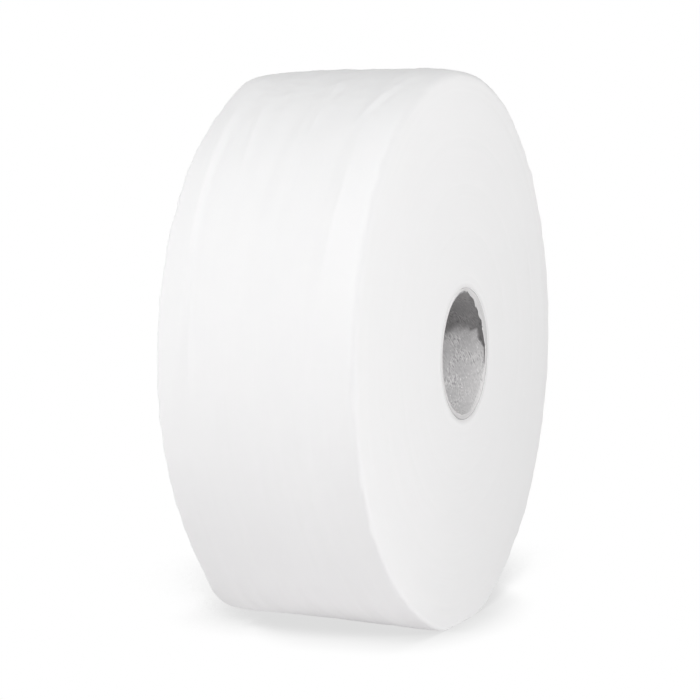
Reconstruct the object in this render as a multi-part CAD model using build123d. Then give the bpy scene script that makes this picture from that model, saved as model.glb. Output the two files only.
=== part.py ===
from build123d import *
import math
import os

# A jumbo toilet paper roll that stands on its rim.
# X runs across the roll, Y along its axis and Z up. The origin is the middle of the flat spot
# that it stands on, and the front end face looks along -Y.

# Driving sizes, in millimetres
roll_diameter = 275.0       # across the wound paper
roll_width = 97.0           # along the axis, as the log was cut
core_bore = 60.0            # clear hole of the cardboard tube
core_wall = 2.5             # wall of the cardboard tube
core_sag = 2.5              # how far the tube hangs below the middle of the standing roll
flat_depth = 1.6            # how much of the round is pressed flat by the roll's own weight

# The outer turns slope down towards the two rims, which are rounded in a few flats
front_shoulder_width = 20.0
front_shoulder_drop = 2.6
back_shoulder_width = 11.0
back_shoulder_drop = 0.9
front_rim_radius = 3.0
back_rim_radius = 2.2
rim_flats = 2

# Shallow troughs round the roll where the outer turns lie slack, spread between the shoulders
slack_hoop_count = 3
slack_hoop_width = 7.0
slack_hoop_depth = 0.3
slack_hoop_margin = 1.0     # from each shoulder to the nearest trough

# The heel is the part of the shoulders that the floor presses square
heel_tightness = 24.0       # how much smaller the heel's radius is than the roll's
heel_lift = 0.5             # how much less of the heel is pressed flat than of the round

# The free end of the outer turn lies on the back of the roll
tail_angle = -35.0          # degrees above the level line, on the +X side
tail_step = 0.6             # height of the free end above the turn below it

# The turns show on both end faces as fine rings, one wherever the winding ran slack
turn_ring_count = 5
turn_ring_width = 0.9
turn_ring_depth = 0.4
turn_ring_margin = 6.0      # plain band beside the tube and inside each rim

# Places that follow from the sizes
roll_radius = roll_diameter / 2
core_outer_radius = core_bore / 2 + core_wall
roll_axis_height = roll_radius - flat_depth
core_axis_height = roll_axis_height - core_sag
front_y = -roll_width / 2
back_y = roll_width / 2
largest_shoulder_drop = max(front_shoulder_drop, back_shoulder_drop)
largest_rim_radius = max(front_rim_radius, back_rim_radius)
tail_direction = Vector(math.cos(math.radians(tail_angle)), 0, math.sin(math.radians(tail_angle)))


def rounded_rim(rim_y, inward, rim_radius, height):
    """Points of one rounded rim, from the end face up to the outer surface."""
    points = []
    for step in range(rim_flats + 1):
        angle = math.radians(90) * step / rim_flats
        across = rim_y + inward * rim_radius * (1 - math.cos(angle))
        points.append((across, height - rim_radius * (1 - math.sin(angle))))
    return points


def slack_hoops(radius):
    """Points of the troughs in the outer surface, from the front to the back."""
    half = slack_hoop_width / 2
    first = front_y + front_shoulder_width + slack_hoop_margin + half
    last = back_y - back_shoulder_width - slack_hoop_margin - half
    spacing = (last - first) / max(slack_hoop_count - 1, 1)
    points = []
    for number in range(slack_hoop_count):
        middle = first + number * spacing
        points += [(middle - half, radius), (middle, radius - slack_hoop_depth), (middle + half, radius)]
    return points


def rim_profile(radius):
    """Half section of the wound paper: Y across, distance from the axis upwards."""
    front_rim = rounded_rim(front_y, 1, front_rim_radius, radius - front_shoulder_drop)
    back_rim = rounded_rim(back_y, -1, back_rim_radius, radius - back_shoulder_drop)
    front_top = (front_y + front_shoulder_width, radius)
    back_top = (back_y - back_shoulder_width, radius)
    outside = [front_top, *slack_hoops(radius), back_top]
    points = [(front_y, 0), *front_rim, *outside, *reversed(back_rim), (back_y, 0)]
    return make_face(Polyline(*points, close=True))


def heel_profile(radius):
    """Half section of the heel, which has rounded rims but no shoulders."""
    front_rim = rounded_rim(front_y, 1, front_rim_radius, radius)
    back_rim = rounded_rim(back_y, -1, back_rim_radius, radius)
    points = [(front_y, 0), *front_rim, *reversed(back_rim), (back_y, 0)]
    return make_face(Polyline(*points, close=True))


def half_roll(radius, middle_angle):
    """Half a turn of the round, about the Y axis, whose middle looks along middle_angle."""
    profile = Plane.YZ * rim_profile(radius)
    half = revolve(profile, Axis.Y, 180)
    return Rot(0, -middle_angle, 0) * half


def wound_round():
    """The round as the winding leaves it: two half turns, the second one about an axis that
    is moved by half a step, so that the surface spirals out and ends in the tail's step."""
    inner_half = half_roll(roll_radius, tail_angle + 90)
    outer_half = half_roll(roll_radius + tail_step / 2, tail_angle - 90)
    moved = Pos(*(tail_direction * (tail_step / 2))) * outer_half
    return Pos(0, 0, roll_axis_height) * (inner_half + moved)


def heel():
    """A plain drum of the full width that shows only at the foot of the shoulders."""
    radius = roll_radius - heel_tightness
    height = radius - flat_depth + heel_lift
    return Pos(0, 0, height) * revolve(Plane.YZ * heel_profile(radius), Axis.Y, 360)


def below_floor():
    """All that the floor takes away."""
    depth = roll_radius
    return Pos(0, 0, -depth / 2) * Box(2 * roll_diameter, 2 * roll_width, depth)


def turn_ring(rim_y, inward, radius, height):
    """A V-shaped ring to cut into one end face: its width and depth count at the face."""
    tip = (rim_y + inward * turn_ring_depth, radius)
    mouth_y = rim_y - inward * turn_ring_depth
    section = Polyline(
        tip, (mouth_y, radius - turn_ring_width), (mouth_y, radius + turn_ring_width), close=True
    )
    return Pos(0, 0, height) * revolve(Plane.YZ * make_face(section), Axis.Y, 360)


def turn_rings():
    """The rings of both end faces. Their middles climb from the tube's axis to the roll's,
    because the tube hangs low in the standing roll."""
    first = core_outer_radius + turn_ring_margin
    last = roll_radius - largest_shoulder_drop - largest_rim_radius - turn_ring_margin
    rings = []
    for number in range(turn_ring_count):
        share = number / max(turn_ring_count - 1, 1)
        radius = first + (last - first) * share
        height = core_axis_height + core_sag * share
        rings.append(turn_ring(front_y, 1, radius, height))
        rings.append(turn_ring(back_y, -1, radius, height))
    return rings


def tube(radius, length):
    """A full cylinder along Y about the tube's own axis."""
    return Pos(0, 0, core_axis_height) * Rot(90, 0, 0) * Cylinder(radius, length)


def make_paper_roll():
    """All the wound turns as one soft solid, with the hole that the tube fills."""
    body = (wound_round() - below_floor()) + (heel() - below_floor())
    body -= tube(core_outer_radius, 2 * roll_width)
    return body - turn_rings()


def make_core_tube():
    """The cardboard tube, cut flush with the end faces."""
    return tube(core_outer_radius, roll_width) - tube(core_bore / 2, 2 * roll_width)


os.makedirs("parts", exist_ok=True)
pieces = {"paper_roll": make_paper_roll(), "core_tube": make_core_tube()}
for name, piece in pieces.items():
    solid = piece.solids()[0]
    print(name, "solids", len(piece.solids()), "volume", round(solid.volume))
    export_step(solid, f"parts/{name}.step")
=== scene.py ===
import bpy
import math
import numpy as np
from mathutils import Matrix, Vector


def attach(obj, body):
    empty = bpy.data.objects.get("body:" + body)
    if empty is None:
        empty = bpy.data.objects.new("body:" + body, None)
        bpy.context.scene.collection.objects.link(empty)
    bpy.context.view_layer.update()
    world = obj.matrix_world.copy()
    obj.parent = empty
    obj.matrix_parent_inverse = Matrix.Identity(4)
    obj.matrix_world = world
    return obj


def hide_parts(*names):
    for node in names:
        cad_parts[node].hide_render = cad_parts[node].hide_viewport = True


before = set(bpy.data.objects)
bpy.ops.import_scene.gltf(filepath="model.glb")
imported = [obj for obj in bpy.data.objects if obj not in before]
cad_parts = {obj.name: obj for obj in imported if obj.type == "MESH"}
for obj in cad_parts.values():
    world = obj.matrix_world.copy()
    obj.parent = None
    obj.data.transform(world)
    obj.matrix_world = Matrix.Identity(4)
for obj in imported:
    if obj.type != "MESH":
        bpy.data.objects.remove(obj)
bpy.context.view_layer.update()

# A jumbo toilet paper roll that stands on its rim. Lengths are in metres. X runs across the roll,
# Y along its axis and Z up. Angles run from +X over the top, so that 180 degrees looks along -X.
MM = 0.001

# Sizes of the wound paper and its tube
roll_radius = 137.5 * MM
front_y = -48.5 * MM
back_y = 48.5 * MM
roll_axis_height = 135.9 * MM
core_axis_height = 133.4 * MM
tube_bore_radius = 30.0 * MM
tube_outer_radius = 32.5 * MM
paper_bore_gap = 0.08 * MM          # between the tube and the innermost turn

# The two ends: where each is and which way is inwards, the width and drop of its shoulder, the
# rounding of its rim, and how far its face falls back towards the rim
front_end = {
    "y": front_y, "inward": 1, "shoulder": 20.0 * MM, "drop": 2.6 * MM, "rim": 4.0 * MM,
    "edge_fall": 0.6 * MM, "face_seed": 40, "rim_seed": 31,
}
back_end = {
    "y": back_y, "inward": -1, "shoulder": 11.0 * MM, "drop": 0.9 * MM, "rim": 2.2 * MM,
    "edge_fall": 0.0, "face_seed": 60, "rim_seed": 32,
}
shoulder_power = 1.7                # 1 is a straight slope, more is rounder
rim_wear = 0.3 * MM                 # how unevenly the rims are rounded
rim_squeeze = 0.45                  # how much tighter the rims are rounded low on the -X side
rim_squeeze_angle = 240.0
rim_squeeze_spread = 50.0
edge_fall_reach = 14.0 * MM         # how near its rim a face falls back
round_waviness = 0.25 * MM          # how uneven the round is
face_wave_height = 0.22 * MM        # slow waves of the end faces
face_band_height = 0.05 * MM        # shallow bands of turns on the end faces
face_relief_reach = 14.0 * MM       # from the tube to where the faces' waves are whole

# How far inside the round a cut face starts to look like the sheet, and where it does wholly
sheet_look_starts = 6.0 * MM
sheet_look_whole = 3.2 * MM

# The tube's cut front edge is torn: in places its inner edge is worn back from the bore, and
# elsewhere a thin flap of it hangs into the opening
lip_worn_back = 1.15 * MM
lip_flaps = [
    {"angle": 25.0, "spread": 37.0, "inward": 3.8 * MM},
    {"angle": 58.0, "spread": 22.0, "inward": 2.2 * MM},
    {"angle": 262.0, "spread": 34.0, "inward": 1.2 * MM},
]
lip_thickness = 0.4 * MM
lip_tear = 0.75 * MM                # how far the torn edge wanders in and out
lip_torn_angle = 35.0               # where it is torn most
lip_torn_spread = 45.0
lip_tear_elsewhere = 0.25           # how much of that it is torn elsewhere
tube_edge = 0.2 * MM                # how far the tube's outer edges are broken
board_dents = 0.1 * MM              # how uneven the bore is
board_burr = 0.12 * MM              # how rough the saw left the inner edge at the back
cut_roughness = 0.06 * MM           # how uneven the cut edges are
tube_columns = 720

# The free end of the outer turn
tail_angle = -35.0
tail_step = 0.6 * MM
tail_edge_width = 0.25 * MM
tail_lift = 0.7 * MM
tail_lift_reach = 5.0 * MM
tail_edge_wave = 1.6 * MM
tail_wave_reach = 12.0 * MM         # how far round from the edge its wave is felt
tail_edge_margin = 9.0 * MM         # from each end face to the first torn nib
tail_edge_points = 160
nib_sink = 0.05 * MM                # how deep the nibs start below the sheet's surface

# How the foot of the roll is pressed by its own weight
foot_angle = 270.0
heel_inner_angle = 9.0
heel_outer_angle = 32.0
slack_inner_angle = 14.0            # the outer turns lie tight up to here,
slack_outer_angle = 30.0            # and slack from here on
floor_softness = 1.3 * MM
foot_bulge = 0.9 * MM
foot_bulge_height = 9.0 * MM

# Rings on the end faces, where the winding ran slack
ring_count = 5
ring_first_radius = 38.5 * MM
ring_last_radius = 125.9 * MM
ring_half_width = 0.45 * MM
ring_depth = 0.05 * MM

# Slack hoops in the outer turns, at these places along the axis
hoop_places = [-24.0 * MM, 4.5 * MM, 33.0 * MM]
hoop_width = 7.0 * MM
hoop_depth = 0.28 * MM
relief_margin = 6.0 * MM            # hoops and folds fade out this near a rim
tight_share = 0.09                  # share of the width, beside each rim, where the turns lie tight

# The folds that show: a ridge and a groove inside the back rim, and short ones elsewhere. Each
# lies at y, drifts along the axis from its first angle to its last, and rises or sinks.
folds = [
    {"y": 39 * MM, "drift": -5 * MM, "from": 122, "to": 172, "reach": 2.0 * MM, "height": 0.5 * MM},
    {"y": 34 * MM, "drift": -2 * MM, "from": 130, "to": 186, "reach": 1.9 * MM, "height": -0.55 * MM},
    {"y": 26 * MM, "drift": -6 * MM, "from": 120, "to": 142, "reach": 1.7 * MM, "height": 0.42 * MM},
    {"y": -33 * MM, "drift": 3 * MM, "from": 138, "to": 166, "reach": 1.9 * MM, "height": 0.4 * MM},
    {"y": -36 * MM, "drift": 11 * MM, "from": 110, "to": 130, "reach": 1.8 * MM, "height": 0.4 * MM},
    {"y": -41 * MM, "drift": 12 * MM, "from": 108, "to": 128, "reach": 1.8 * MM, "height": -0.3 * MM},
    {"y": -3 * MM, "drift": -3 * MM, "from": 112, "to": 132, "reach": 1.8 * MM, "height": 0.42 * MM},
    {"y": -12 * MM, "drift": 8 * MM, "from": 104, "to": 124, "reach": 2.0 * MM, "height": -0.4 * MM},
    {"y": 2 * MM, "drift": 1 * MM, "from": 180, "to": 202, "reach": 1.5 * MM, "height": -0.22 * MM},
    {"y": -21 * MM, "drift": 0 * MM, "from": 182, "to": 200, "reach": 1.5 * MM, "height": -0.22 * MM},
    {"y": -27 * MM, "drift": 0 * MM, "from": 150, "to": 196, "reach": 1.7 * MM, "height": 0.18 * MM},
    {"y": 38 * MM, "drift": 3 * MM, "from": 176, "to": 190, "reach": 1.9 * MM, "height": 0.3 * MM},
]
fold_fade = 8                       # over how many degrees each end of a fold fades out

# Places where a rim stands out of the round or falls inside it: the roll has been handled, and
# its weight spreads the foot. Angles and spreads are in degrees.
rim_swells = [
    {"end": back_end, "angle": 110.0, "spread": 8.0, "reach": 14 * MM, "height": 1.9 * MM},
    {"end": back_end, "angle": 142.0, "spread": 24.0, "reach": 25 * MM, "height": 1.1 * MM},
    {"end": back_end, "angle": 190.0, "spread": 22.0, "reach": 25 * MM, "height": 0.5 * MM},
    {"end": back_end, "angle": 237.0, "spread": 11.0, "reach": 38 * MM, "height": 4.8 * MM},
    {"end": back_end, "angle": 258.0, "spread": 10.0, "reach": 58 * MM, "height": -1.5 * MM},
    {"end": front_end, "angle": 87.0, "spread": 9.0, "reach": 34 * MM, "height": -0.45 * MM},
    {"end": front_end, "angle": 72.0, "spread": 26.0, "reach": 25 * MM, "height": 1.1 * MM},
    {"end": front_end, "angle": 0.0, "spread": 60.0, "reach": 25 * MM, "height": 0.4 * MM},
    {"end": front_end, "angle": 275.0, "spread": 15.0, "reach": 14 * MM, "height": 0.8 * MM},
]

# Over the top the turns are lifted a little in the middle of the roll
top_lift = {"angle": 88.0, "spread": 8.0, "y": 16 * MM, "reach": 24 * MM, "height": 0.8 * MM}

# There they are crumpled too
top_crumple_angle = 106.0
top_crumple_spread = 20.0

# The roll leans on its front rim and to the -X side, so that its foot is pressed flat more there
foot_lean_front = 1.0 * MM
foot_lean_back = -0.3 * MM
foot_lean_height = 22.0 * MM
foot_lean_width = 14.0 * MM

# Numbers of rows and columns of the paper mesh
columns = 516
outer_rows = 80
rim_rows = 6
filler_spacing = 4.2 * MM
bore_edge = 0.15 * MM               # how far the edges of the paper's hole are broken

# The tissue's patterns: how fine they are, per metre, and how high they stand
crepe_fineness = (1100.0, 160.0)    # along the sheet and along the axis
crepe_height = 0.00003
tissue_fibre_fineness = 1700.0
tissue_fibre_height = 0.000012
turn_line_fineness = (1500.0, 9.0)  # across the turns and along them
turn_line_height = 0.00004
face_fuzz_fineness = 900.0
face_fuzz_height = 0.00002
tissue_cloud_fineness = 38.0
# Painted shade: the end faces are painted greyer out to this far from the tube, where the innermost turns
# meet it
painted_tube_shade_reach = 2.8 * MM         # how far out from the tube the turns look greyer

# The board's patterns. Its fibres lie aslant, in degrees, as the winding laid them.
board_lay = 28.0
board_fibre_fineness = (450.0, 1600.0)
board_fibre_height = 0.00012
board_fibre_contrast = 2.4
board_grain_fineness = 1500.0
board_grain_height = 0.00003
board_grain_contrast = 0.4
board_cloud_fineness = 110.0
board_cloud_contrast = 0.6
board_fleck_fineness = (380.0, 1500.0)
board_ply_fineness = (1700.0, 70.0)
# Painted light: the bore is painted paler just behind its front edge, where bounced light falls, fading
# over this depth
painted_front_light_reach = 14 * MM         # how deep the board looks paler behind the front edge
painted_front_light = 0.4


def smooth_step(low, high, value):
    """0 below low, 1 above high and smooth in between."""
    share = np.clip((value - low) / (high - low), 0, 1)
    return share * share * (3 - 2 * share)


def wander(angle, seed, first, last, falloff=1.0):
    """A random wave that closes round the roll, about -1 to 1."""
    random = np.random.default_rng(seed)
    total = np.zeros_like(angle)
    size = 0
    for harmonic in range(first, last + 1):
        share = 1 / harmonic ** falloff
        total += share * np.cos(harmonic * angle + random.uniform(0, 2 * math.pi))
        size += share * share
    return total / math.sqrt(2 * size)


def wave_line(place, seed, longest, shortest):
    """A random wave along a line, about -1 to 1."""
    random = np.random.default_rng(seed)
    count = 6
    total = np.zeros_like(place)
    for length in np.geomspace(longest, shortest, count):
        total += np.cos(2 * math.pi * place / length + random.uniform(0, 2 * math.pi))
    return total / math.sqrt(count)


def angle_apart(angle, middle):
    """How far each angle is from the middle one, in degrees."""
    return np.abs((np.degrees(angle) - middle + 180) % 360 - 180)


def hill(distance, spread):
    """1 in the middle, and fading to 0 both ways."""
    return np.exp(-(distance / spread) ** 2)


def closed_grid(name, points, attributes):
    """A mesh of rows and columns of points that closes both ways and faces outwards."""
    rows, across = points.shape[:2]
    here = np.arange(rows * across).reshape(rows, across)
    beside = np.roll(here, -1, axis=1)
    above = np.roll(here, -1, axis=0)
    corner = np.roll(beside, -1, axis=0)
    quads = np.stack([here, beside, corner, above], axis=-1).reshape(-1, 4)
    mesh = bpy.data.meshes.new(name)
    mesh.from_pydata(points.reshape(-1, 3).tolist(), [], quads.tolist())
    for label, values in attributes.items():
        layer = mesh.attributes.new(label, "FLOAT", "POINT")
        layer.data.foreach_set("value", np.ascontiguousarray(values, np.float32).ravel())
    mesh.shade_smooth()
    return mesh


def new_piece(name, data):
    piece = bpy.data.objects.new(name, data)
    bpy.context.scene.collection.objects.link(piece)
    return piece


# Trees that grow folds, nibs and fibres on a mesh

def new_growth(name, sizes):
    """An empty geometry tree with a geometry input and one named input for each size."""
    tree = bpy.data.node_groups.new(name, "GeometryNodeTree")
    tree.interface.new_socket(name="Geometry", in_out="INPUT", socket_type="NodeSocketGeometry")
    for label, value in sizes.items():
        kind = "NodeSocketInt" if isinstance(value, int) else "NodeSocketFloat"
        socket = tree.interface.new_socket(name=label, in_out="INPUT", socket_type=kind)
        socket.default_value = value
    tree.interface.new_socket(name="Geometry", in_out="OUTPUT", socket_type="NodeSocketGeometry")
    return tree


def add_node(tree, kind, inputs=None, **settings):
    """A node with its settings, whose inputs are values or other nodes' outputs."""
    node = tree.nodes.new(kind)
    for label, value in settings.items():
        setattr(node, label, value)
    for label, value in (inputs or {}).items():
        if isinstance(value, bpy.types.NodeSocket):
            tree.links.new(value, node.inputs[label])
        else:
            node.inputs[label].default_value = value
    return node


def add_math(tree, operation, first, second=0.0, third=0.0):
    inputs = {0: first, 1: second, 2: third}
    return add_node(tree, "ShaderNodeMath", inputs, operation=operation).outputs[0]


def add_vector_math(tree, operation, first, second):
    inputs = {0: first, 1: second}
    return add_node(tree, "ShaderNodeVectorMath", inputs, operation=operation).outputs[0]


def socket_of(sockets, identifier):
    """The socket with an identifier, where several share a name."""
    return next(socket for socket in sockets if socket.identifier == identifier)


def point_value(tree, label):
    """A value that each point of the mesh carries."""
    inputs = {"Name": label}
    return add_node(tree, "GeometryNodeInputNamedAttribute", inputs, data_type="FLOAT").outputs[0]


def seeded_noise(tree, vector, seed, scale, detail, rough):
    inputs = {"Vector": vector, "W": seed, "Scale": scale, "Detail": detail, "Roughness": rough}
    return add_node(tree, "ShaderNodeTexNoise", inputs, noise_dimensions="4D").outputs["Fac"]


def finish_growth(tree, geometry, material):
    """The end of every geometry tree: real geometry with its material."""
    real = add_node(tree, "GeometryNodeRealizeInstances", {"Geometry": geometry})
    dressed = add_node(tree, "GeometryNodeSetMaterial", {"Geometry": real.outputs[0]})
    dressed.inputs["Material"].default_value = material
    output = tree.nodes.new("NodeGroupOutput")
    tree.links.new(dressed.outputs[0], output.inputs[0])


def grow(piece, tree, sizes):
    """Runs a geometry tree on a piece and returns the result as a plain mesh."""
    modifier = piece.modifiers.new(tree.name, "NODES")
    modifier.node_group = tree
    for socket in tree.interface.items_tree:
        if socket.item_type == "SOCKET" and socket.name in sizes:
            modifier[socket.identifier] = sizes[socket.name]
    graph = bpy.context.evaluated_depsgraph_get()
    grown = piece.evaluated_get(graph)
    mesh = bpy.data.meshes.new_from_object(grown, preserve_all_data_layers=True, depsgraph=graph)
    piece.modifiers.remove(modifier)
    return mesh


# Materials

sheen_roughness = 0.6


def new_material(name, base, roughness, specular, sheen):
    """A plain material. What is the same all over is set on the surface's own sockets."""
    material = bpy.data.materials.new(name)
    material.use_nodes = True
    surface = material.node_tree.nodes["Principled BSDF"]
    surface.inputs["Base Color"].default_value = (*base, 1)
    surface.inputs["Roughness"].default_value = roughness
    surface.inputs["Specular IOR Level"].default_value = specular
    surface.inputs["Sheen Weight"].default_value = sheen
    surface.inputs["Sheen Roughness"].default_value = sheen_roughness
    return material, material.node_tree, surface


def attribute(tree, label):
    return add_node(tree, "ShaderNodeAttribute", attribute_name=label).outputs["Fac"]


def place_vector(tree, x, y, z):
    return add_node(tree, "ShaderNodeCombineXYZ", {"X": x, "Y": y, "Z": z}).outputs[0]


def noise(tree, vector, scale, detail, rough):
    inputs = {"Vector": vector, "Scale": scale, "Detail": detail, "Roughness": rough}
    return add_node(tree, "ShaderNodeTexNoise", inputs).outputs["Fac"]


def object_place(tree):
    return add_node(tree, "ShaderNodeTexCoord").outputs["Object"]


def streaks(tree, first, second, fineness, detail, rough, layer=0.0):
    """Noise over two measures of a surface, with its own fineness along each."""
    x = add_math(tree, "MULTIPLY", first, fineness[0])
    y = add_math(tree, "MULTIPLY", second, fineness[1])
    return noise(tree, place_vector(tree, x, y, layer), 1.0, detail, rough)


def stretch(tree, value, low, high):
    """0 below low, 1 above high and straight in between."""
    inputs = {"Value": value, "From Min": low, "From Max": high}
    return add_node(tree, "ShaderNodeMapRange", inputs).outputs[0]


def between(tree, factor, first, second):
    """A number between two others."""
    return add_node(tree, "ShaderNodeMix", {0: factor, 2: first, 3: second}).outputs[0]


def between_colours(tree, factor, first, second):
    """A colour between two others."""
    node = add_node(tree, "ShaderNodeMix", data_type="RGBA")
    tree.links.new(factor, socket_of(node.inputs, "Factor_Float"))
    for label, value in (("A_Color", first), ("B_Color", second)):
        socket = socket_of(node.inputs, label)
        if isinstance(value, bpy.types.NodeSocket):
            tree.links.new(value, socket)
        else:
            socket.default_value = (*value, 1)
    return socket_of(node.outputs, "Result_Color")


def add_heights(tree, first, first_height, second, second_height):
    """The height of two patterns, one on top of the other, in metres."""
    under = add_math(tree, "MULTIPLY", second, second_height)
    return add_math(tree, "MULTIPLY_ADD", first, first_height, under)


def raise_surface(tree, surface, height):
    """Bump from a height in metres."""
    inputs = {"Height": height, "Strength": 1.0, "Distance": 1.0}
    bump = add_node(tree, "ShaderNodeBump", inputs)
    tree.links.new(bump.outputs[0], surface.inputs["Normal"])


def tissue_material():
    """White tissue: crepe and fibres on the outer turns, the edges of the turns on the faces, and painted
    shade beside the tube.
    """
    material, tree, surface = new_material(
        "white_tissue_crepe", base=(0.9, 0.9, 0.9), roughness=0.92, specular=0.12, sheen=0.08
    )
    along = attribute(tree, "along_turn")
    turn = attribute(tree, "turn_radius")
    cut = attribute(tree, "cut_face")
    place = object_place(tree)
    axis_place = add_node(tree, "ShaderNodeSeparateXYZ", {"Vector": place}).outputs["Y"]
    # Crepe wrinkles cross the sheet, so that they run along the roll's axis
    crepe = streaks(tree, along, axis_place, crepe_fineness, 3.0, 0.6)
    fibres = noise(tree, place, tissue_fibre_fineness, 3.0, 0.65)
    sheet_height = add_heights(tree, crepe, crepe_height, fibres, tissue_fibre_height)
    # The edges of the turns are fine lines that follow each turn for a while
    lines = streaks(tree, turn, along, turn_line_fineness, 3.0, 0.7)
    fuzz = noise(tree, place, face_fuzz_fineness, 4.0, 0.7)
    face_height = add_heights(tree, lines, turn_line_height, fuzz, face_fuzz_height)
    raise_surface(tree, surface, between(tree, cut, sheet_height, face_height))
    # Faint mottling, slightly greyer lines between the turns, and a band of painted shade beside the tube,
    # where the innermost turns meet it
    clouds = noise(tree, place, tissue_cloud_fineness, 4.0, 0.6)
    sheet_colour = between_colours(tree, clouds, (0.885, 0.885, 0.89), (0.915, 0.915, 0.915))
    face_colour = between_colours(tree, lines, (0.883, 0.883, 0.885), (0.92, 0.919, 0.917))
    painted_shade_end = tube_outer_radius + painted_tube_shade_reach
    outside_painted_shade = stretch(tree, turn, tube_outer_radius + paper_bore_gap, painted_shade_end)
    face_colour = between_colours(tree, outside_painted_shade, (0.78, 0.775, 0.775), face_colour)
    colour = between_colours(tree, cut, sheet_colour, face_colour)
    tree.links.new(colour, surface.inputs["Base Color"])
    return material


def board_material():
    """Grey board: short fibres that follow the winding of the tube, flecks, a pale cut edge, and painted
    light just inside the front of the bore.
    """
    material, tree, surface = new_material(
        "grey_board", base=(0.34, 0.335, 0.34), roughness=0.9, specular=0.12, sheen=0.05
    )
    around = attribute(tree, "around_tube")
    cut = attribute(tree, "cut_edge")
    place = object_place(tree)
    axis_place = add_node(tree, "ShaderNodeSeparateXYZ", {"Vector": place}).outputs["Y"]
    lay = math.radians(board_lay)
    strand = add_math(tree, "MULTIPLY", around, math.cos(lay))
    strand = add_math(tree, "MULTIPLY_ADD", axis_place, math.sin(lay), strand)
    across = add_math(tree, "MULTIPLY", around, -math.sin(lay))
    across = add_math(tree, "MULTIPLY_ADD", axis_place, math.cos(lay), across)
    fibres = streaks(tree, strand, across, board_fibre_fineness, 1.0, 0.5)
    grains = noise(tree, place, board_grain_fineness, 2.0, 0.5)
    clouds = noise(tree, place, board_cloud_fineness, 2.0, 0.5)
    # The fibres stand out in patches and lie smooth between them
    patch = add_math(tree, "MULTIPLY_ADD", stretch(tree, clouds, 0.45, 0.62), 1.3, 0.35)
    fibres = add_math(tree, "MULTIPLY", add_math(tree, "SUBTRACT", fibres, 0.5), patch)
    # The tone of the bore, with painted light just behind the front edge that fades with depth
    tone = add_math(tree, "MULTIPLY_ADD", grains, board_grain_contrast, 0.3)
    tone = add_math(tree, "MULTIPLY_ADD", fibres, board_fibre_contrast, tone)
    cloudy = add_math(tree, "SUBTRACT", clouds, 0.5)
    tone = add_math(tree, "MULTIPLY_ADD", cloudy, board_cloud_contrast, tone)
    depth = stretch(tree, axis_place, front_y, front_y + painted_front_light_reach)
    painted_light = add_math(tree, "MULTIPLY_ADD", depth, -painted_front_light, painted_front_light)
    tone = add_math(tree, "ADD", tone, painted_light)
    wall = between_colours(tree, tone, (0.3, 0.294, 0.3), (0.54, 0.533, 0.533))
    flecks = streaks(tree, strand, across, board_fleck_fineness, 1.0, 0.5, layer=7.0)
    wall = between_colours(tree, stretch(tree, flecks, 0.69, 0.76), wall, (0.72, 0.71, 0.71))
    # The plies show in the cut edge
    ply = streaks(tree, attribute(tree, "tube_radius"), around, board_ply_fineness, 2.0, 0.5)
    edge = between_colours(tree, ply, (0.46, 0.452, 0.452), (0.72, 0.712, 0.712))
    tree.links.new(between_colours(tree, cut, wall, edge), surface.inputs["Base Color"])
    height = add_heights(tree, fibres, board_fibre_height, grains, board_grain_height)
    raise_surface(tree, surface, height)
    return material


def fibre_material():
    """The loose fibres of the board, paler than the board and speckled."""
    material, tree, surface = new_material(
        "board_fibre", base=(0.62, 0.615, 0.62), roughness=0.9, specular=0.1, sheen=0.0
    )
    tone = noise(tree, object_place(tree), 220.0, 2.0, 0.5)
    colour = between_colours(tree, tone, (0.4, 0.395, 0.4), (0.85, 0.85, 0.85))
    tree.links.new(colour, surface.inputs["Base Color"])
    return material


# The wound paper

def turn_centre(radius):
    """Height of a turn's middle. The tube hangs low, so the turns' middles climb outwards."""
    share = np.clip((radius - ring_first_radius) / (ring_last_radius - ring_first_radius), 0, 1)
    return core_axis_height + (roll_axis_height - core_axis_height) * share


def paper_columns():
    """Angles of the mesh's columns, from the tail once round to the tail's edge."""
    last = 2 * math.pi - tail_edge_width / roll_radius
    return np.linspace(0, last, columns)


def wound_radius(past_tail):
    """Outer radius: even for half a turn, then growing to the tail's step."""
    second_half = past_tail > math.pi
    return roll_radius + second_half * (tail_step / 2) * (1 + np.cos(past_tail))


def heel_share(angle):
    """How much of a shoulder is left at an angle: none under the roll, all of it higher up."""
    return smooth_step(heel_inner_angle, heel_outer_angle, angle_apart(angle, foot_angle))


def shoulder_drop(end, depth, angle):
    """How far the outer turns lie below the round, at a depth from an end face."""
    share = np.clip((end["shoulder"] - depth) / end["shoulder"], 0, 1)
    return end["drop"] * share ** shoulder_power * heel_share(angle)


def rim_radius(end, angle):
    """How large a rim's rounding is at an angle: it is squeezed low on the -X side."""
    squeezed = hill(angle_apart(angle, rim_squeeze_angle), rim_squeeze_spread)
    return end["rim"] * (1 - rim_squeeze * squeezed)


def rim_end(end, angle):
    """Where a rim's rounding meets its shoulder: slope, depth and inset below the round."""
    slope = np.zeros_like(angle)
    for _ in range(4):
        depth = rim_radius(end, angle) * (1 - np.sin(slope))
        step = 0.1 * MM
        lower = shoulder_drop(end, depth, angle)
        higher = shoulder_drop(end, depth + step, angle)
        slope = np.arctan((lower - higher) / step)
    return slope, depth, lower


def rim_swell(y, angle):
    """How far the outer turns stand out near the rims."""
    total = np.zeros_like(angle)
    for swell in rim_swells:
        depth = np.abs(y - swell["end"]["y"])
        round_share = hill(angle_apart(angle, swell["angle"]), swell["spread"])
        total = total + swell["height"] * round_share * hill(depth, swell["reach"])
    over_top = hill(angle_apart(angle, top_lift["angle"]), top_lift["spread"])
    in_middle = hill(y - top_lift["y"], top_lift["reach"])
    return total + top_lift["height"] * over_top * in_middle


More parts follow.
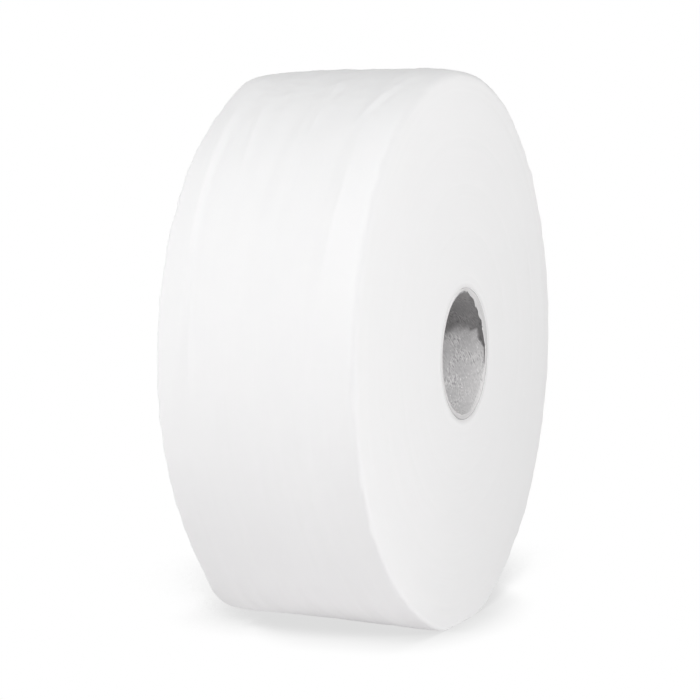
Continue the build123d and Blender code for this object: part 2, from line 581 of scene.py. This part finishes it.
def fold_height(fold, y, angle):
    """One long fold in the outer turns, which fades out at both ends."""
    first = fold["from"]
    last = fold["to"]
    degrees = np.degrees(angle) % 360
    middle = fold["y"] + fold["drift"] * (degrees - first) / (last - first)
    fade_in = smooth_step(first - fold_fade, first + fold_fade, degrees)
    fade_out = 1 - smooth_step(last - fold_fade, last + fold_fade, degrees)
    return fold["height"] * (fade_in * fade_out) * hill(y - middle, fold["reach"])


def hoops(y, angle):
    """Troughs round the roll that come and go."""
    total = np.zeros_like(y)
    for number, place in enumerate(hoop_places):
        depth = hoop_depth * (0.65 + 0.35 * wander(angle, 20 + number, 1, 5))
        total -= depth * hill(y - place, hoop_width / 2)
    return total


def face_relief(end, radius, angle):
    """How far an end face stands out of its plane: slow waves and shallow bands of turns."""
    seed = end["face_seed"]
    whole = tube_outer_radius + face_relief_reach
    fade = smooth_step(tube_outer_radius, whole, radius)
    waves = face_wave_height * wander(angle, seed, 1, 4) * radius / roll_radius
    bands = face_band_height * wave_line(radius, seed + 1, 40 * MM, 9 * MM)
    fallen = smooth_step(roll_radius - edge_fall_reach, roll_radius, radius)
    return (waves + bands) * fade - end["edge_fall"] * fallen


def face_row_radii():
    """Radius and groove depth of each row on an end face, from the bore outwards."""
    radii = [tube_outer_radius + paper_bore_gap + 0.5 * MM]
    depths = [0.0]
    spacing = (ring_last_radius - ring_first_radius) / (ring_count - 1)
    for number in range(ring_count):
        middle = ring_first_radius + number * spacing
        gap = middle - ring_half_width - radii[-1]
        fillers = int(gap / filler_spacing)
        for filler in range(1, fillers + 1):
            radii.append(radii[-1] + (middle - ring_half_width - radii[-1]) / (fillers + 2 - filler))
            depths.append(0.0)
        radii += [middle - ring_half_width, middle, middle + ring_half_width]
        depths += [0.0, ring_depth, 0.0]
    return radii, depths


def face_rows(end, angle, rim_radius_at_face):
    """Rows of an end face, from the bore to the rim: y, radius, centre height."""
    radii, depths = face_row_radii()
    rows = []
    for radius, depth in zip(radii, depths):
        level = np.full_like(angle, radius)
        y = end["y"] + end["inward"] * (depth - face_relief(end, level, angle))
        rows.append((y, level, turn_centre(level)))
    for share in (0.35, 0.7):
        level = radii[-1] + (rim_radius_at_face - radii[-1]) * share
        y = end["y"] - end["inward"] * face_relief(end, level, angle)
        rows.append((y, level, turn_centre(level)))
    return rows


def rim_rows_of(end, angle, round_radius):
    """Rows of a rounded rim, from the face to the shoulder."""
    slope, depth, drop = rim_end(end, angle)
    drop = drop - rim_swell(end["y"] + end["inward"] * depth, angle)
    full_rim = rim_radius(end, angle)
    middle_radius = round_radius - drop - full_rim * np.cos(slope)
    wear = rim_wear * wander(angle, end["rim_seed"], 14, 70, 0.5) * heel_share(angle)
    rows = []
    for number in range(rim_rows):
        turn = (math.pi / 2 - slope) * number / rim_rows
        rim = full_rim - wear * math.sin(math.pi * number / rim_rows)
        level = middle_radius + rim * np.sin(turn)
        y = end["y"] + end["inward"] * (full_rim - rim * np.cos(turn))
        y = y - end["inward"] * face_relief(end, level, angle) * np.cos(turn)
        rows.append((y, level, turn_centre(level)))
    return rows, middle_radius, end["y"] + end["inward"] * depth


def outer_rows_of(angle, round_radius, first_y, last_y):
    """Rows of the outer surface, from the back rim to the front rim."""
    rows = []
    for number in range(outer_rows):
        share = number / (outer_rows - 1)
        y = first_y + (last_y - first_y) * share
        from_front = y - front_y
        from_back = back_y - y
        drop = shoulder_drop(front_end, from_front, angle) + shoulder_drop(back_end, from_back, angle)
        inside = smooth_step(0, relief_margin, from_front) * smooth_step(0, relief_margin, from_back)
        relief = (hoops(y, angle) + sum(fold_height(fold, y, angle) for fold in folds)) * inside
        level = round_radius - drop + relief + rim_swell(y, angle)
        rows.append((y, level, np.full_like(angle, roll_axis_height)))
    return rows


def bore_rows_of(angle):
    """Rows of the hole that the tube fills, from the front to the back."""
    bore = tube_outer_radius + paper_bore_gap
    profile = (
        (front_y + bore_edge, bore + bore_edge), (front_y + 0.5 * MM, bore), (front_y / 2, bore), (0, bore),
        (back_y / 2, bore), (back_y - 0.5 * MM, bore), (back_y - bore_edge, bore + bore_edge),
    )
    centre = np.full_like(angle, core_axis_height)
    return [(np.full_like(angle, y), np.full_like(angle, radius), centre) for y, radius in profile]


def tail_wave(y):
    """How far the tail's edge wanders along the turn, across the sheet."""
    return tail_edge_wave * wave_line(y, 71, 70 * MM, 9 * MM)


def tail_lift_share(y):
    """How much of its lift the tail's edge has at each place across the sheet."""
    return 0.45 + 0.35 * wave_line(y, 72, 60 * MM, 14 * MM)


def press_on_floor(points):
    """Rounds off what would be below the floor, and pushes the rims out a little there."""
    toward_back = points[..., 1] / (2 * back_y) + 0.5
    lean = foot_lean_front + (foot_lean_back - foot_lean_front) * toward_back
    lean *= 0.5 - 0.5 * np.tanh(points[..., 0] / foot_lean_width)
    points[..., 2] -= lean * hill(points[..., 2], foot_lean_height)
    height = points[..., 2]
    pressed = (height + floor_softness) ** 2 / (4 * floor_softness)
    pressed = np.where(height < -floor_softness, 0, pressed)
    low = np.exp(-np.maximum(height, 0) / foot_bulge_height)
    outward = points[..., 1] / back_y
    near_end = smooth_step(0.8, 1.0, np.abs(outward))
    points[..., 1] += foot_bulge * low * near_end * np.sign(outward)
    points[..., 2] = np.where(height < floor_softness, pressed, height)
    return points


def paper_mesh():
    """All the turns as one soft body: bore, back face, back rim, outside, front rim, front face."""
    past_tail = paper_columns()
    angle = past_tail + math.radians(tail_angle)
    from_edge = np.minimum(past_tail, 2 * math.pi - past_tail) * roll_radius
    near_tail = np.exp(-from_edge / tail_wave_reach)
    under_tail = np.exp(-(2 * math.pi - past_tail) * roll_radius / tail_lift_reach)
    above_foot = smooth_step(slack_inner_angle, slack_outer_angle, angle_apart(angle, foot_angle))
    over_top = np.exp(-(angle_apart(angle, top_crumple_angle) / top_crumple_spread) ** 4)
    round_radius = wound_radius(past_tail) + round_waviness * wander(angle, 11, 2, 9)
    back_rim, back_edge, back_depth = rim_rows_of(back_end, angle, round_radius)
    front_rim, front_edge, front_depth = rim_rows_of(front_end, angle, round_radius)
    # The sections, and whether each one is a cut face and lies loose
    sections = (
        (bore_rows_of(angle), 0, 0),
        (face_rows(back_end, angle, back_edge), 1, 0),
        (back_rim, 1, 0),
        (outer_rows_of(angle, round_radius, back_depth, front_depth), 0, 1),
        (front_rim[::-1], 1, 0),
        (face_rows(front_end, angle, front_edge)[::-1], 1, 0),
    )
    rows = []
    turn_radius = []
    cut_face = []
    slack = []
    crumple = []
    for section, cut, loose in sections:
        for number, (y, level, centre) in enumerate(section):
            share = number / (len(section) - 1)
            free = loose * smooth_step(0, tight_share, min(share, 1 - share))
            turn_radius.append(level)
            sheet = smooth_step(roll_radius - sheet_look_starts, roll_radius - sheet_look_whole, level)
            cut_face.append(cut * (1 - sheet))
            slack.append(free * above_foot)
            crumple.append(free * over_top)
            lifted = level + tail_lift * under_tail * tail_lift_share(y) * free
            turned = angle + tail_wave(y) / roll_radius * near_tail * free
            place = [lifted * np.cos(turned), y, centre + lifted * np.sin(turned)]
            rows.append(np.stack(place, axis=-1))
    points = press_on_floor(np.array(rows))
    attributes = {
        "along_turn": np.broadcast_to(past_tail * roll_radius, points.shape[:2]),
        "turn_radius": np.array(turn_radius),
        "cut_face": np.array(cut_face),
        "slack": np.array(slack),
        "crumple": np.array(crumple),
    }
    return closed_grid("paper_roll_turns", points, attributes)


def slack_turns_growth(material):
    """Shallow folds that run round the roll, where the outer turns lie slack, and short crumples."""
    sizes = {
        "Fold length": 0.09, "Fold width": 0.0055, "Fold depth": 0.0002,
        "Crumple size": 0.008, "Crumple depth": 0.00045, "Seed": 7.0,
    }
    # Noise mostly stays within a quarter of its range, so that it is widened to the depths
    widening = 4.0
    tree = new_growth("slack_turns", sizes)
    given = tree.nodes.new("NodeGroupInput")
    seed = given.outputs["Seed"]
    place = add_node(tree, "GeometryNodeInputPosition").outputs[0]
    round_scale = add_math(tree, "DIVIDE", 1.0, given.outputs["Fold length"])
    across_scale = add_math(tree, "DIVIDE", 1.0, given.outputs["Fold width"])
    scale = place_vector(tree, round_scale, across_scale, round_scale)
    folded = seeded_noise(tree, add_vector_math(tree, "MULTIPLY", place, scale), seed, 1.0, 1.5, 0.5)
    folded = add_math(tree, "SUBTRACT", folded, 0.5)
    height = add_math(tree, "MULTIPLY", folded, given.outputs["Fold depth"])
    height = add_math(tree, "MULTIPLY", height, point_value(tree, "slack"))
    height = add_math(tree, "MULTIPLY", height, widening)
    crumple_scale = add_math(tree, "DIVIDE", 1.0, given.outputs["Crumple size"])
    crumpled = seeded_noise(tree, place, seed, crumple_scale, 2.0, 0.6)
    crumpled = add_math(tree, "SUBTRACT", crumpled, 0.5)
    depth = add_math(tree, "MULTIPLY", point_value(tree, "crumple"), given.outputs["Crumple depth"])
    depth = add_math(tree, "MULTIPLY", depth, widening)
    height = add_math(tree, "MULTIPLY_ADD", crumpled, depth, height)
    inputs = {0: add_node(tree, "GeometryNodeInputNormal").outputs[0], "Scale": height}
    outward = add_node(tree, "ShaderNodeVectorMath", inputs, operation="SCALE").outputs[0]
    inputs = {"Geometry": given.outputs["Geometry"], "Offset": outward}
    moved = add_node(tree, "GeometryNodeSetPosition", inputs)
    finish_growth(tree, moved.outputs[0], material)
    return tree, sizes


def make_paper(material):
    paper = new_piece("paper_roll_turns", paper_mesh())
    tree, sizes = slack_turns_growth(material)
    paper.data = grow(paper, tree, sizes)
    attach(paper, "root")
    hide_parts("paper_roll")


# The tail's torn edge

def tail_edge_mesh():
    """A line of points along the free end of the outer turn, on its upper surface."""
    y = np.linspace(front_y + tail_edge_margin, back_y - tail_edge_margin, tail_edge_points)
    angle = math.radians(tail_angle) + tail_wave(y) / roll_radius
    lift = tail_lift * tail_lift_share(y)
    level = roll_radius + tail_step + lift + hoops(y, angle) - nib_sink
    points = np.stack([level * np.cos(angle), y, roll_axis_height + level * np.sin(angle)], axis=-1)
    mesh = bpy.data.meshes.new("tail_edge_line")
    mesh.from_pydata(points.tolist(), [(i, i + 1) for i in range(len(y) - 1)], [])
    return mesh


def tail_nibs_growth(material):
    """Small torn nibs along the tail's edge, where the sheet was parted at its perforation."""
    sizes = {
        "Spacing": 0.0021, "Nib length": 0.0009, "Nib width": 0.0012, "Nib thickness": 0.00012, "Seed": 3,
    }
    shortest = 0.35
    longest = 1.25
    tree = new_growth("tail_nibs", sizes)
    given = tree.nodes.new("NodeGroupInput")
    line = add_node(tree, "GeometryNodeMeshToCurve", {"Mesh": given.outputs["Geometry"]}).outputs[0]
    inputs = {"Curve": line, "Length": given.outputs["Spacing"]}
    marks = add_node(tree, "GeometryNodeResampleCurve", inputs, mode="LENGTH").outputs[0]
    points = add_node(tree, "GeometryNodeCurveToPoints", {"Curve": marks}, mode="EVALUATED")
    sides = [given.outputs["Nib " + side] for side in ("width", "length", "thickness")]
    inputs = {"Size": place_vector(tree, *sides), "Vertices X": 2, "Vertices Y": 3, "Vertices Z": 2}
    nib = add_node(tree, "GeometryNodeMeshCube", inputs).outputs[0]
    inputs = {"Seed": given.outputs["Seed"]}
    length = add_node(tree, "FunctionNodeRandomValue", inputs, data_type="FLOAT")
    socket_of(length.inputs, "Min_001").default_value = shortest
    socket_of(length.inputs, "Max_001").default_value = longest
    scale = place_vector(tree, 1.0, socket_of(length.outputs, "Value_001"), 1.0)
    turned = (0.0, math.radians(-90 - tail_angle), 0.0)
    inputs = {"Points": points.outputs["Points"], "Instance": nib, "Rotation": turned, "Scale": scale}
    placed = add_node(tree, "GeometryNodeInstanceOnPoints", inputs)
    finish_growth(tree, placed.outputs[0], material)
    return tree, sizes


def make_tail_nibs(material):
    line = new_piece("tail_edge_line", tail_edge_mesh())
    tree, sizes = tail_nibs_growth(material)
    nibs = new_piece("tail_torn_edge", grow(line, tree, sizes))
    bpy.data.objects.remove(line)
    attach(nibs, "root")


# The cardboard tube

def lip_radius(angle):
    """Radius of the torn inner edge of the tube's front end."""
    radius = tube_bore_radius + lip_worn_back
    for flap in lip_flaps:
        flap_share = hill(angle_apart(angle, flap["angle"]), flap["spread"])
        radius = radius - flap["inward"] * flap_share
    tear = wander(angle, 515, 9, 36, 0.3) + 0.35 * wander(angle, 81, 45, 110, 0.2)
    torn = hill(angle_apart(angle, lip_torn_angle), lip_torn_spread)
    return radius + lip_tear * tear * (lip_tear_elsewhere + (1 - lip_tear_elsewhere) * torn)


def tube_profile(angle):
    """Rows of the tube from the back of its bore to the front, out and back again: y, radius and
    how much of a cut edge each row is."""
    lip = lip_radius(angle)
    hang = tube_bore_radius - lip
    burr = board_burr * wander(angle, 86, 20, 80, 0.25)
    rows = []
    for y in np.linspace(back_y - 0.5 * MM, front_y + 2.5 * MM, 25):
        dents = board_dents * wander(angle + y / (40 * MM), 83, 2, 7)
        rows.append((y, tube_bore_radius + dents, 0))
    rows += [
        (front_y + 1.3 * MM, tube_bore_radius, 0),
        (front_y + lip_thickness + 0.35 * MM, tube_bore_radius - 0.15 * hang, 0),
        (front_y + lip_thickness, lip + 0.25 * np.abs(hang), 0.6),
        (front_y + 0.6 * lip_thickness, lip, 1),
        (front_y + 0.1 * MM, lip + 0.06 * MM, 1),
    ]
    for share in np.linspace(0.12, 0.9, 6):
        radius = lip + (tube_outer_radius - tube_edge - lip) * share
        rough = cut_roughness * wander(angle + 40 * share, 84, 5, 60, 0.3)
        rows.append((front_y + rough, radius, 1))
    rows.append((front_y + tube_edge, tube_outer_radius, 0.6))
    for y in np.linspace(front_y + 0.6 * MM, back_y - 0.6 * MM, 8):
        rows.append((y, tube_outer_radius, 0))
    rows.append((back_y - tube_edge, tube_outer_radius, 0.6))
    for share in np.linspace(0.1, 0.85, 5):
        radius = tube_outer_radius - share * (tube_outer_radius - tube_bore_radius) + burr * share
        rough = cut_roughness * wander(angle + 40 * share, 85, 5, 60, 0.3)
        rows.append((back_y - rough, radius, 1))
    rows.append((back_y - 0.12 * MM, tube_bore_radius + burr, 0.8))
    plain = np.zeros_like(angle)
    return [[measure + plain for measure in row] for row in rows]


def tube_mesh():
    """The tube as one surface that closes both ways."""
    angle = np.linspace(0, 2 * math.pi, tube_columns, endpoint=False)
    points = []
    radii = []
    cuts = []
    for y, radius, cut in reversed(tube_profile(angle)):
        place = [radius * np.cos(angle), y, core_axis_height + radius * np.sin(angle)]
        points.append(np.stack(place, axis=-1))
        radii.append(radius)
        cuts.append(cut)
    attributes = {
        "around_tube": np.broadcast_to(angle * tube_bore_radius, (len(points), len(angle))),
        "tube_radius": np.array(radii),
        "cut_edge": np.array(cuts),
    }
    return closed_grid("core_tube_board", np.array(points), attributes)


def board_fuzz_growth(material):
    """Loose fibres on the inside of the tube and along its cut edges."""
    sizes = {"Density": 70000.0, "Fibre length": 0.0014, "Fibre thickness": 0.00005, "Seed": 5}
    lean = (0.7, 0.35, 0.7)
    tree = new_growth("board_fuzz", sizes)
    given = tree.nodes.new("NodeGroupInput")
    place = add_node(tree, "GeometryNodeInputPosition").outputs[0]
    split = add_node(tree, "ShaderNodeSeparateXYZ", {0: place})
    level = add_math(tree, "SUBTRACT", split.outputs["Z"], core_axis_height)
    square = add_math(tree, "MULTIPLY", split.outputs["X"], split.outputs["X"])
    radius = add_math(tree, "SQRT", add_math(tree, "MULTIPLY_ADD", level, level, square))
    inside = add_math(tree, "LESS_THAN", radius, tube_bore_radius + 0.7 * MM)
    spread = add_node(tree, "GeometryNodeDistributePointsOnFaces", {
        "Mesh": given.outputs["Geometry"], "Selection": inside, "Density": given.outputs["Density"],
        "Seed": given.outputs["Seed"],
    }, distribute_method="RANDOM")
    fibre = add_node(tree, "GeometryNodeMeshCone", {
        "Vertices": 3, "Radius Top": 0.0, "Radius Bottom": given.outputs["Fibre thickness"],
        "Depth": given.outputs["Fibre length"],
    }, fill_type="TRIANGLE_FAN").outputs[0]
    # Each fibre lies round the tube and leans its own way
    own_way = add_node(tree, "FunctionNodeRandomValue", data_type="FLOAT_VECTOR")
    own_way.inputs["Min"].default_value = [-share for share in lean]
    own_way.inputs["Max"].default_value = lean
    round_tube = add_vector_math(tree, "CROSS_PRODUCT", spread.outputs["Normal"], (0.0, 1.0, 0.0))
    leaning = add_vector_math(tree, "ADD", round_tube, own_way.outputs[0])
    aimed = add_node(tree, "FunctionNodeAlignRotationToVector", {"Vector": leaning}, axis="Z")
    placed = add_node(tree, "GeometryNodeInstanceOnPoints", {
        "Points": spread.outputs["Points"], "Instance": fibre, "Rotation": aimed.outputs[0],
    })
    finish_growth(tree, placed.outputs[0], material)
    return tree, sizes


def make_tube(board, loose_fibre):
    tube = new_piece("core_tube_board", tube_mesh())
    tube.data.materials.append(board)
    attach(tube, "root")
    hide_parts("core_tube")
    tree, sizes = board_fuzz_growth(loose_fibre)
    fuzz = new_piece("core_tube_fibres", grow(tube, tree, sizes))
    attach(fuzz, "root")
    return tube, fuzz


# The studio: floor, world, lamps and camera

view_middle = Vector((0, 0, roll_axis_height))
camera_azimuth = -66.24
camera_elevation = 4.32
camera_distance = 983.7 * MM
camera_right_of_middle = 12.54 * MM
camera_above_middle = 2.12 * MM
camera_lens = 100.6

floor_size = 8.0
floor_tint = (0.66, 0.648, 0.652)
floor_glow = 0.27                   # the floor is lit from below, as a light table is

# The floor looks white but for the roll's soft shadow: how much of four broad lights reaches a
# place past what stands near it. Each has the direction it comes from, how far things count, and
# the shares of it at which the floor is darkest and white.
shadow_lights = [
    {"from": (-0.9, -0.4, 0.1), "reach": 0.3, "hidden": 0.71, "clear": 0.765},
    {"from": (0, -1, 0.15), "reach": 0.09, "hidden": 0.476, "clear": 0.62},
    {"from": (-0.65, 0.45, 0.6), "reach": 0.04, "hidden": 0.27, "clear": 0.625},
    {"from": (0, 0.8, 0.6), "reach": 0.05, "hidden": 0.216, "clear": 0.606},
]
shadow_darkest = 0.72
shadow_curve = 0.77
shadow_samples = 32
ambient = 0.14

# Each lamp's place round the roll in degrees, its distance and size in metres, and its watts
lamps = {
    "front_low": {"azimuth": -30, "elevation": 8, "distance": 1.5, "size": 0.8, "power": 4.46},
    "front_high": {"azimuth": 0, "elevation": 30, "distance": 1.5, "size": 0.8, "power": 7.84},
    "side_low": {"azimuth": -130, "elevation": 12, "distance": 1.5, "size": 0.8, "power": 1.07},
    "side_high": {"azimuth": -130, "elevation": 30, "distance": 1.5, "size": 0.8, "power": 10.2},
    "overhead": {"azimuth": -110, "elevation": 60, "distance": 1.5, "size": 0.8, "power": 2.73},
    "near": {"azimuth": -55, "elevation": 8, "distance": 0.75, "size": 0.3, "power": 0.42},
}
tube_lamps = {
    "into_tube": {"azimuth": -48.2, "elevation": 35.0, "distance": 1.5, "size": 0.17, "power": 25.0},
}


def direction(azimuth, elevation):
    """Unit vector from the object towards a place round it. Azimuth 0 is in front, along -Y."""
    turn = math.radians(azimuth)
    lift = math.radians(elevation)
    return Vector((math.sin(turn) * math.cos(lift), -math.cos(turn) * math.cos(lift), math.sin(lift)))


def facing(back):
    """Rotation of a lamp or camera that looks along -back, with its top up."""
    right = Vector((0, 0, 1)).cross(back).normalized()
    up = back.cross(right)
    return Matrix((right, up, back)).transposed()


def seen_directly(tree):
    """1 for camera, glossy and transmission rays, 0 for the light that falls on the object."""
    path = tree.nodes.new("ShaderNodeLightPath")
    seen = add_math(tree, "MAXIMUM", path.outputs["Is Camera Ray"], path.outputs["Is Glossy Ray"])
    return add_math(tree, "MAXIMUM", seen, path.outputs["Is Transmission Ray"])


def make_world():
    world = bpy.data.worlds.new("studio")
    bpy.context.scene.world = world
    world.use_nodes = True
    tree = world.node_tree
    light = tree.nodes["Background"]
    light.inputs["Color"].default_value = (1, 1, 1, 1)
    light.inputs["Strength"].default_value = ambient
    white = add_node(tree, "ShaderNodeBackground", {"Color": (1, 1, 1, 1), "Strength": 1.0})
    inputs = {0: seen_directly(tree), 1: light.outputs[0], 2: white.outputs[0]}
    mixed = add_node(tree, "ShaderNodeMixShader", inputs)
    tree.links.new(mixed.outputs[0], tree.nodes["World Output"].inputs["Surface"])


def make_floor():
    """A pale floor that looks white and keeps the roll's soft shadow."""
    half = floor_size / 2
    corners = [(-half, -half, 0), (half, -half, 0), (half, half, 0), (-half, half, 0)]
    mesh = bpy.data.meshes.new("studio_floor")
    mesh.from_pydata(corners, [], [(0, 1, 2, 3)])
    floor = new_piece("studio_floor", mesh)
    material = bpy.data.materials.new("studio_floor")
    material.use_nodes = True
    tree = material.node_tree
    tree.nodes.clear()
    base = add_node(tree, "ShaderNodeBsdfDiffuse", {"Color": (*floor_tint, 1)}).outputs[0]
    glow = add_node(tree, "ShaderNodeEmission", {"Color": (1, 1, 1, 1), "Strength": floor_glow}).outputs[0]
    felt = add_node(tree, "ShaderNodeAddShader", {0: base, 1: glow}).outputs[0]
    share = 1.0
    for light in shadow_lights:
        inputs = {"Distance": light["reach"], "Normal": place_vector(tree, *light["from"])}
        lit = add_node(tree, "ShaderNodeAmbientOcclusion", inputs, samples=shadow_samples).outputs["AO"]
        share = add_math(tree, "MULTIPLY", share, stretch(tree, lit, light["hidden"], light["clear"]))
    share = add_math(tree, "POWER", share, shadow_curve)
    paleness = between(tree, share, shadow_darkest, 1.0)
    shown = add_node(tree, "ShaderNodeEmission", {"Color": (1, 1, 1, 1), "Strength": paleness}).outputs[0]
    seen = add_node(tree, "ShaderNodeMixShader", {0: seen_directly(tree), 1: felt, 2: shown}).outputs[0]
    output = tree.nodes.new("ShaderNodeOutputMaterial")
    tree.links.new(seen, output.inputs["Surface"])
    mesh.materials.append(material)


def place_lamp(name, lamp, target):
    """A round soft lamp at its place round the target, turned to the target."""
    light = bpy.data.lights.new(name, "AREA")
    light.shape = "DISK"
    light.size = lamp["size"]
    light.energy = lamp["power"]
    placed = new_piece(name, light)
    back = direction(lamp["azimuth"], lamp["elevation"])
    placed.matrix_world = Matrix.Translation(target + back * lamp["distance"]) @ facing(back).to_4x4()
    placed.visible_camera = False
    return placed


def make_lamps(tube, fibres):
    """The lamps. The tube has its own, which reaches nothing else."""
    only_tube = bpy.data.collections.new("only_tube")
    all_but_tube = bpy.data.collections.new("all_but_tube")
    for piece in (tube, fibres):
        only_tube.objects.link(piece)
        all_but_tube.objects.link(piece)
    for member in all_but_tube.collection_objects:
        member.light_linking.link_state = "EXCLUDE"
    for name, lamp in lamps.items():
        placed = place_lamp(name, lamp, view_middle)
        placed.light_linking.receiver_collection = all_but_tube
    for name, lamp in tube_lamps.items():
        placed = place_lamp(name, lamp, Vector((0, front_y, core_axis_height)))
        placed.light_linking.receiver_collection = only_tube


def make_camera():
    back = direction(camera_azimuth, camera_elevation)
    rotation = facing(back)
    right = rotation.col[0]
    up = rotation.col[1]
    place = view_middle + back * camera_distance - right * camera_right_of_middle - up * camera_above_middle
    camera = new_piece("camera", bpy.data.cameras.new("camera"))
    camera.data.lens = camera_lens
    camera.data.sensor_width = 36.0
    camera.data.clip_start = 0.05
    camera.data.clip_end = 30.0
    camera.matrix_world = Matrix.Translation(place) @ rotation.to_4x4()
    bpy.context.scene.camera = camera


tissue = tissue_material()
make_paper(tissue)
make_tail_nibs(tissue)
tube, fibres = make_tube(board_material(), fibre_material())
make_world()
make_floor()
make_lamps(tube, fibres)
make_camera()
bpy.context.scene.view_settings.view_transform = "Standard"
